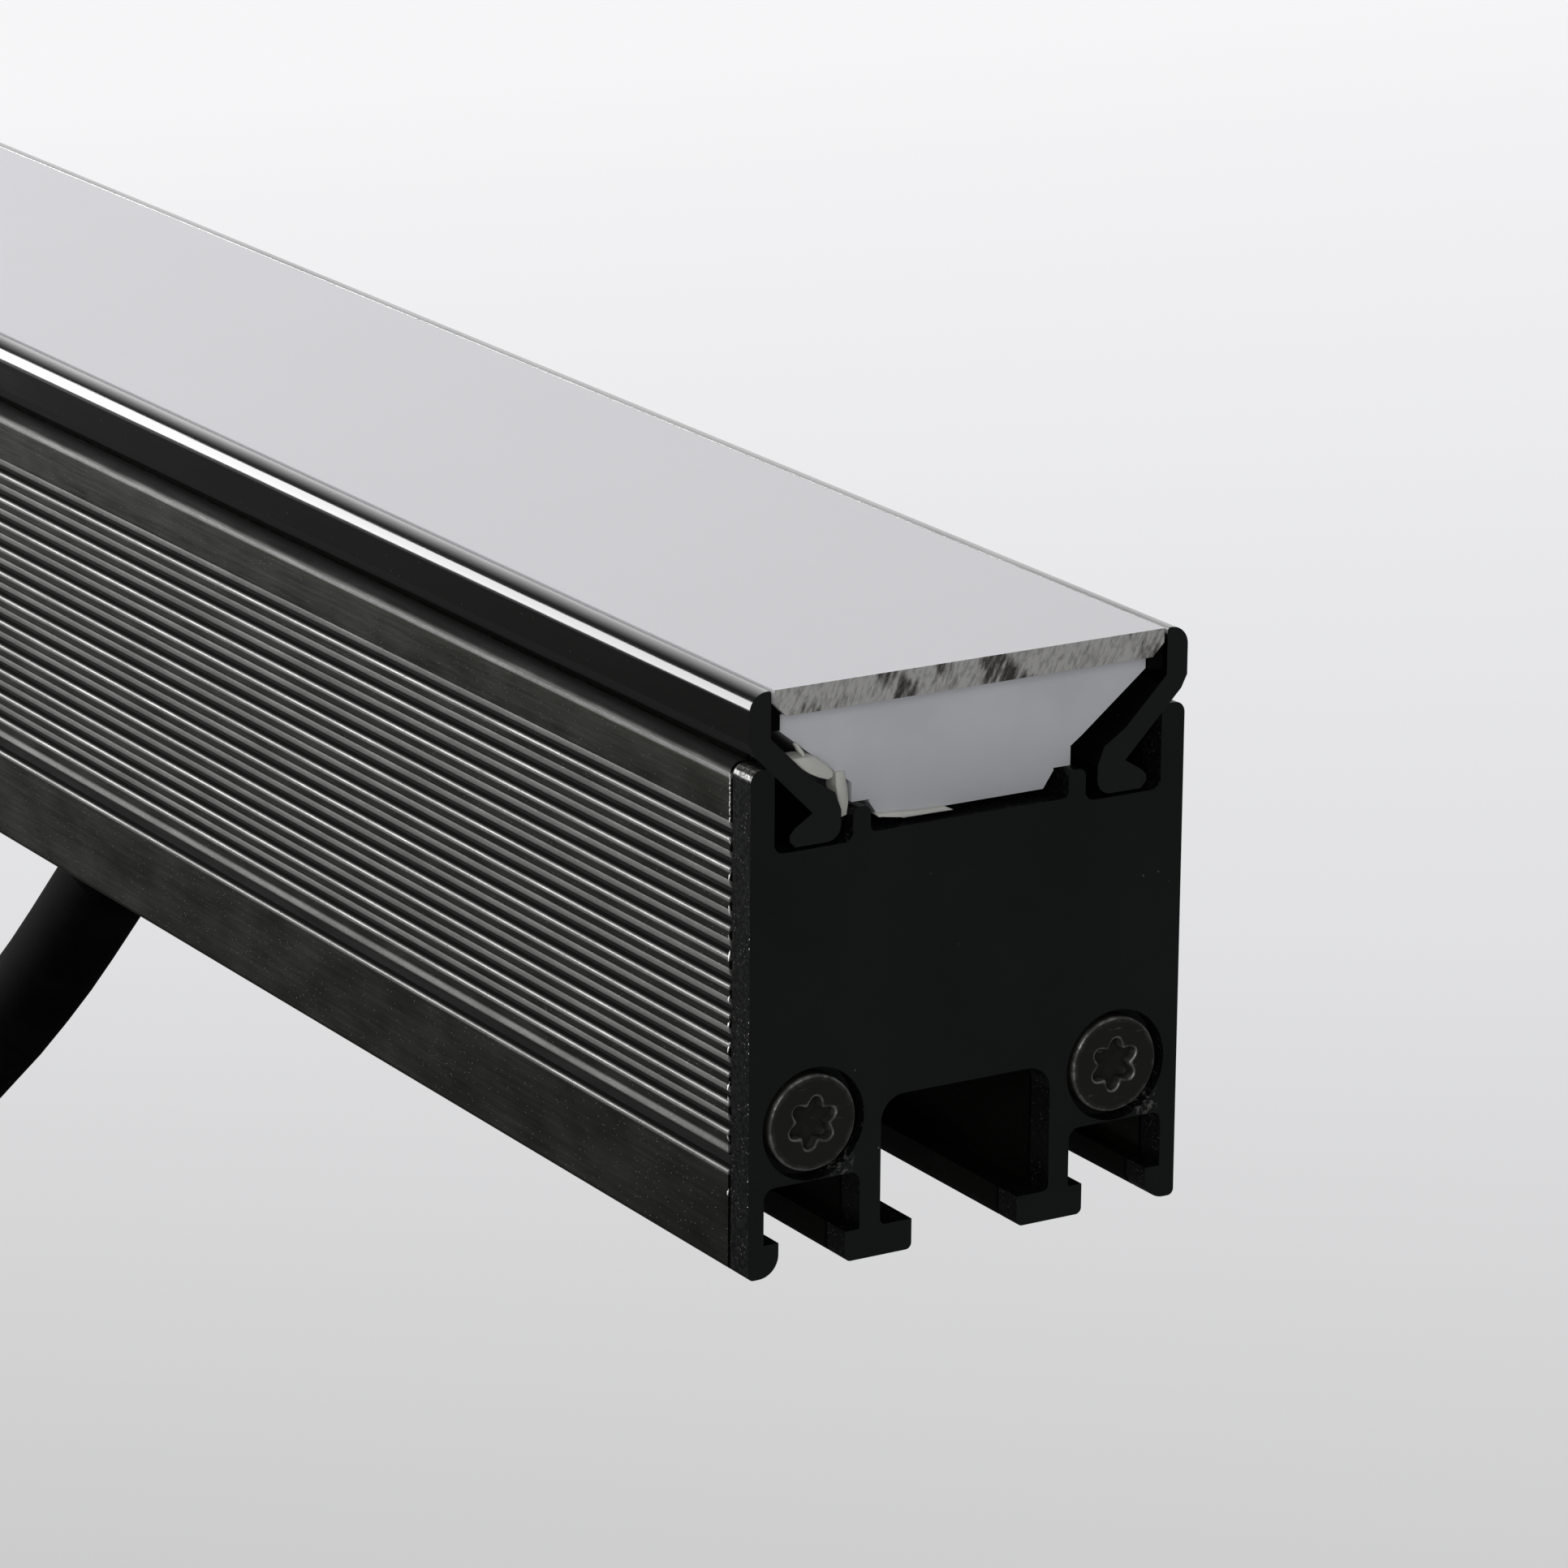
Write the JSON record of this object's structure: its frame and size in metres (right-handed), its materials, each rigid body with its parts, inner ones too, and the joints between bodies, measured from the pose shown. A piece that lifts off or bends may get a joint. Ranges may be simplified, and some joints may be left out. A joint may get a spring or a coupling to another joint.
{
  "type": "outdoor wall washer light",
  "caption": "Slim linear wall washer with a ribbed aluminium body, flat milky cover held by clip strips, screwed end plates, underside T-channel and a lead with a round connector.",
  "frame": {"origin": "middle of the mouth of the underside T-channel, on the base plane, half way along the body", "axes": "+X along the body, +Z the way the light leaves it, Y across"},
  "size_m": [0.3, 0.0384, 0.3236],
  "materials": {
    "anodised_black": "black anodised, satin, fine grain along the extrusion",
    "seal_black": "matte black sealing rubber",
    "screw_black": "blackened steel with bright worn rims",
    "screw_steel": "zinc plated steel",
    "clip_gloss_black": "glossy black extruded strip",
    "cover_milky": "milky frosted cover with a smooth top",
    "trough_white": "white reflector",
    "plug_milky": "milky silicone plug",
    "pad_grey": "soft grey thermal pad",
    "board_white": "white solder mask",
    "phosphor": "yellow phosphor in a white package",
    "wire_insulation": "coloured wire insulation",
    "tray_clear": "milky insulating sheet",
    "board_green": "green solder mask",
    "ferrite": "dark ferrite and moulded packages",
    "capacitor_sleeve": "dark blue shrink sleeve",
    "terminal_green": "green moulded block",
    "gland_nylon": "black glass-filled nylon",
    "cable_rubber": "black rubber sheath",
    "o_ring_red": "red-brown silicone ring",
    "contact_gold": "gold plated contacts"
  },
  "bodies": {
    "luminaire": {"housing": "anodised_black", "end_plate_right": "anodised_black", "end_plate_left": "anodised_black", "end_gasket_right": "seal_black", "end_gasket_left": "seal_black", "end_screws_right": "screw_black", "end_screws_left": "screw_black", "clip_strip_front": "clip_gloss_black", "clip_strip_back": "clip_gloss_black", "cover_glass": "cover_milky", "glass_seal_front": "seal_black", "glass_seal_back": "seal_black", "reflector_trough": "trough_white", "end_plug_right": "plug_milky", "end_plug_left": "plug_milky", "thermal_pad": "pad_grey", "led_board": "board_white", "light_sources": "phosphor", "board_screws": "screw_steel", "led_wires": "wire_insulation", "wire_grommet": "seal_black", "driver_tray": "tray_clear", "driver_board": "board_green", "driver_transformer": "ferrite", "driver_inductors": "ferrite", "driver_capacitors": "capacitor_sleeve", "driver_chips": "ferrite", "terminal_block": "terminal_green", "input_wires": "wire_insulation", "gland_body": "gland_nylon", "gland_seal": "seal_black", "gland_locknut": "gland_nylon", "elbow_boot": "cable_rubber", "power_cable": "cable_rubber", "connector_boot": "cable_rubber", "connector_shell": "gland_nylon", "connector_o_ring": "o_ring_red", "contact_insert": "cable_rubber", "contact_pins": "contact_gold"},
    "ring": {"coupling_ring": "gland_nylon"}
  },
  "joints": [
    {"name": "coupling_ring_turn", "type": "hinge", "parent": "luminaire", "child": "ring", "pos_m": [-0.07, 0, -0.268], "axis": [0, 0, -1], "continuous": true}
  ]
}
